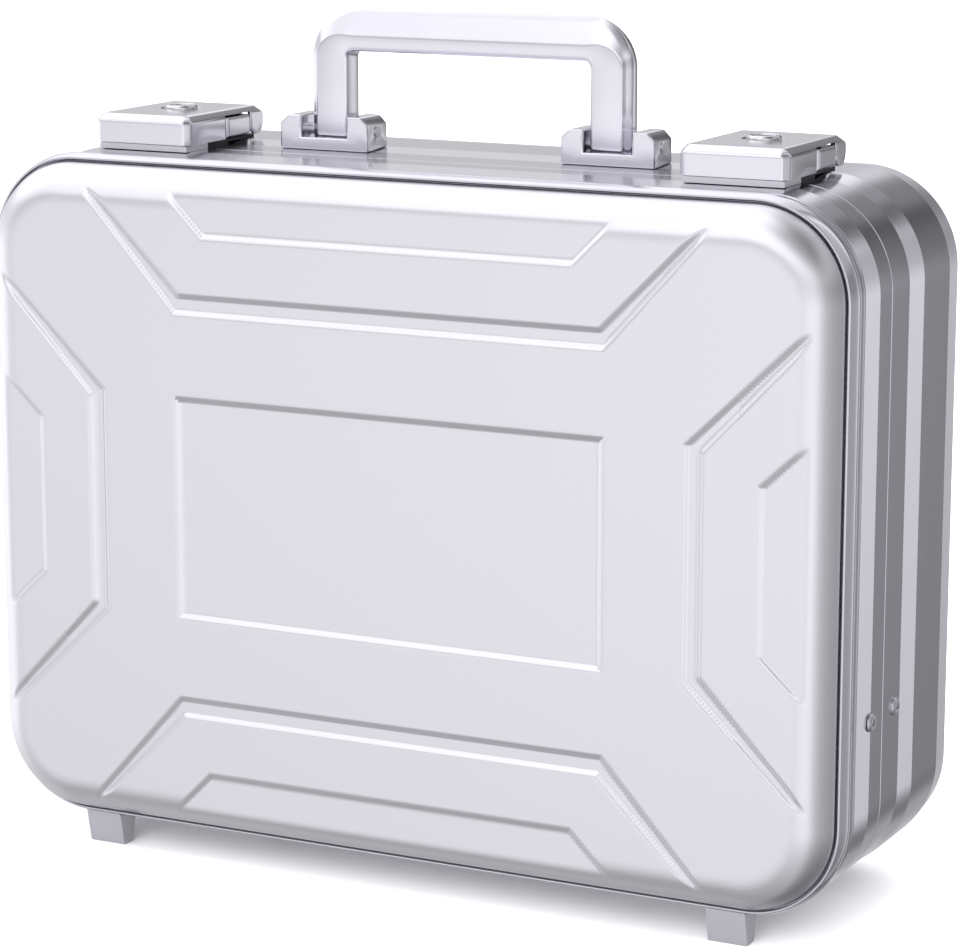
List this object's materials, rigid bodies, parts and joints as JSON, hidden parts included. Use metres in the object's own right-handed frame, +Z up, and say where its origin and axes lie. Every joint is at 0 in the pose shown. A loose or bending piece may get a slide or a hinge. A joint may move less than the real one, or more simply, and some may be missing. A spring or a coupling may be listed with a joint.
{
  "type": "drone carrying case",
  "caption": "Hard aluminium carrying case, hinged along its underside, with a folding handle, key latches, folding lid stays, feet and a foam inlay cut for a small aircraft and its gear.",
  "frame": {"origin": "on the floor under the middle of the case's width and depth", "axes": "+X to the case's right as seen from its lid side, -Y towards the lid, +Z up through the handle"},
  "size_m": [0.4032, 0.154, 0.371],
  "materials": {
    "shell_sheet": "satin",
    "frame_extrusion": "satin",
    "cast_fittings": "satin",
    "button_cap": "satin",
    "steel": "satin",
    "key_chrome": "polished",
    "inner_plastic": "matte",
    "foot_plastic": "satin",
    "seal_rubber": "matte",
    "foam": "matte"
  },
  "bodies": {
    "base": {"base_shell": "shell_sheet", "base_frame": "frame_extrusion", "lid_seal": "seal_rubber", "base_foam": "foam", "handle_bracket_left": "cast_fittings", "handle_bracket_right": "cast_fittings", "handle_pins": "steel", "latch_base_left": "inner_plastic", "latch_base_right": "inner_plastic", "button_springs_left": "steel", "button_springs_right": "steel", "hinge_leaf_base_left": "steel", "hinge_leaf_base_right": "steel", "hinge_pins": "steel", "hinge_rivets_base": "steel", "top_screws": "steel", "stay_studs_base": "steel", "stay_screws_base": "steel", "foot_base_left": "foot_plastic", "foot_base_right": "foot_plastic"},
    "lid": {"lid_shell": "shell_sheet", "lid_frame": "frame_extrusion", "lid_foam": "foam", "hinge_leaf_lid_left": "steel", "hinge_leaf_lid_right": "steel", "hinge_rivets_lid": "steel", "strike_plate_left": "steel", "strike_plate_right": "steel", "strike_rivets": "steel", "stay_studs_lid": "steel", "stay_screws_lid": "steel", "foot_lid_left": "foot_plastic", "foot_lid_right": "foot_plastic"},
    "handle": {"handle": "cast_fittings"},
    "latch_left": {"latch_cover_left": "cast_fittings", "latch_pin_left": "steel", "latch_hook_left": "steel"},
    "key_left": {"key_cylinder_left": "key_chrome", "key_cam_left": "steel"},
    "button_left_outer": {"release_button_left_outer": "button_cap"},
    "button_left_inner": {"release_button_left_inner": "button_cap"},
    "stay_arm_base_left": {"stay_base_left": "steel", "stay_knee_left": "steel"},
    "stay_arm_lid_left": {"stay_lid_left": "steel"},
    "latch_right": {"latch_cover_right": "cast_fittings", "latch_pin_right": "steel", "latch_hook_right": "steel"},
    "key_right": {"key_cylinder_right": "key_chrome", "key_cam_right": "steel"},
    "button_right_outer": {"release_button_right_outer": "button_cap"},
    "button_right_inner": {"release_button_right_inner": "button_cap"},
    "stay_arm_base_right": {"stay_base_right": "steel", "stay_knee_right": "steel"},
    "stay_arm_lid_right": {"stay_lid_right": "steel"}
  },
  "joints": [
    {"name": "lid_hinge", "type": "hinge", "parent": "base", "child": "lid", "pos_m": [0, -0.019, 0.0095], "axis": [1, 0, 0], "range_deg": [0, 95]},
    {"name": "handle_fold", "type": "hinge", "parent": "base", "child": "handle", "pos_m": [0, 0.0056, 0.3174], "axis": [-1, 0, 0], "range_deg": [0, 90]},
    {"name": "latch_left_lift", "type": "hinge", "parent": "base", "child": "latch_left", "pos_m": [-0.1383, 0.0196, 0.3174], "axis": [-1, 0, 0], "range_deg": [0, 90]},
    {"name": "key_left_turn", "type": "hinge", "parent": "latch_left", "child": "key_left", "pos_m": [-0.1383, -0.005, 0.322], "axis": [0, 0, 1], "range_deg": [0, 90]},
    {"name": "button_left_outer_press", "type": "slide", "parent": "base", "child": "button_left_outer", "axis": [1, 0, 0], "range_m": [0, 0.0025], "stiffness_N_per_m": 400, "springref_m": -0.001},
    {"name": "button_left_inner_press", "type": "slide", "parent": "base", "child": "button_left_inner", "axis": [-1, 0, 0], "range_m": [0, 0.0025], "stiffness_N_per_m": 400, "springref_m": -0.001},
    {"name": "stay_base_left_swing", "type": "hinge", "parent": "base", "child": "stay_arm_base_left", "pos_m": [-0.1913, -0.005, 0.0935], "axis": [1, 0, 0], "range_deg": [0, 100]},
    {"name": "stay_lid_left_swing", "type": "hinge", "parent": "lid", "child": "stay_arm_lid_left", "pos_m": [-0.1885, -0.033, 0.0935], "axis": [1, 0, 0], "range_deg": [-100, 0]},
    {"name": "latch_right_lift", "type": "hinge", "parent": "base", "child": "latch_right", "pos_m": [0.1383, 0.0196, 0.3174], "axis": [-1, 0, 0], "range_deg": [0, 90]},
    {"name": "key_right_turn", "type": "hinge", "parent": "latch_right", "child": "key_right", "pos_m": [0.1383, -0.005, 0.322], "axis": [0, 0, 1], "range_deg": [0, 90]},
    {"name": "button_right_outer_press", "type": "slide", "parent": "base", "child": "button_right_outer", "axis": [-1, 0, 0], "range_m": [0, 0.0025], "stiffness_N_per_m": 400, "springref_m": -0.001},
    {"name": "button_right_inner_press", "type": "slide", "parent": "base", "child": "button_right_inner", "axis": [1, 0, 0], "range_m": [0, 0.0025], "stiffness_N_per_m": 400, "springref_m": -0.001},
    {"name": "stay_base_right_swing", "type": "hinge", "parent": "base", "child": "stay_arm_base_right", "pos_m": [0.1913, -0.005, 0.0935], "axis": [1, 0, 0], "range_deg": [0, 100]},
    {"name": "stay_lid_right_swing", "type": "hinge", "parent": "lid", "child": "stay_arm_lid_right", "pos_m": [0.1885, -0.033, 0.0935], "axis": [1, 0, 0], "range_deg": [-100, 0]}
  ],
  "couplings": [
    {"joint": "stay_base_left_swing", "follows": "lid_hinge", "ratio": 1.05},
    {"joint": "stay_lid_left_swing", "follows": "lid_hinge", "ratio": -1.05},
    {"joint": "stay_base_right_swing", "follows": "lid_hinge", "ratio": 1.05},
    {"joint": "stay_lid_right_swing", "follows": "lid_hinge", "ratio": -1.05}
  ]
}
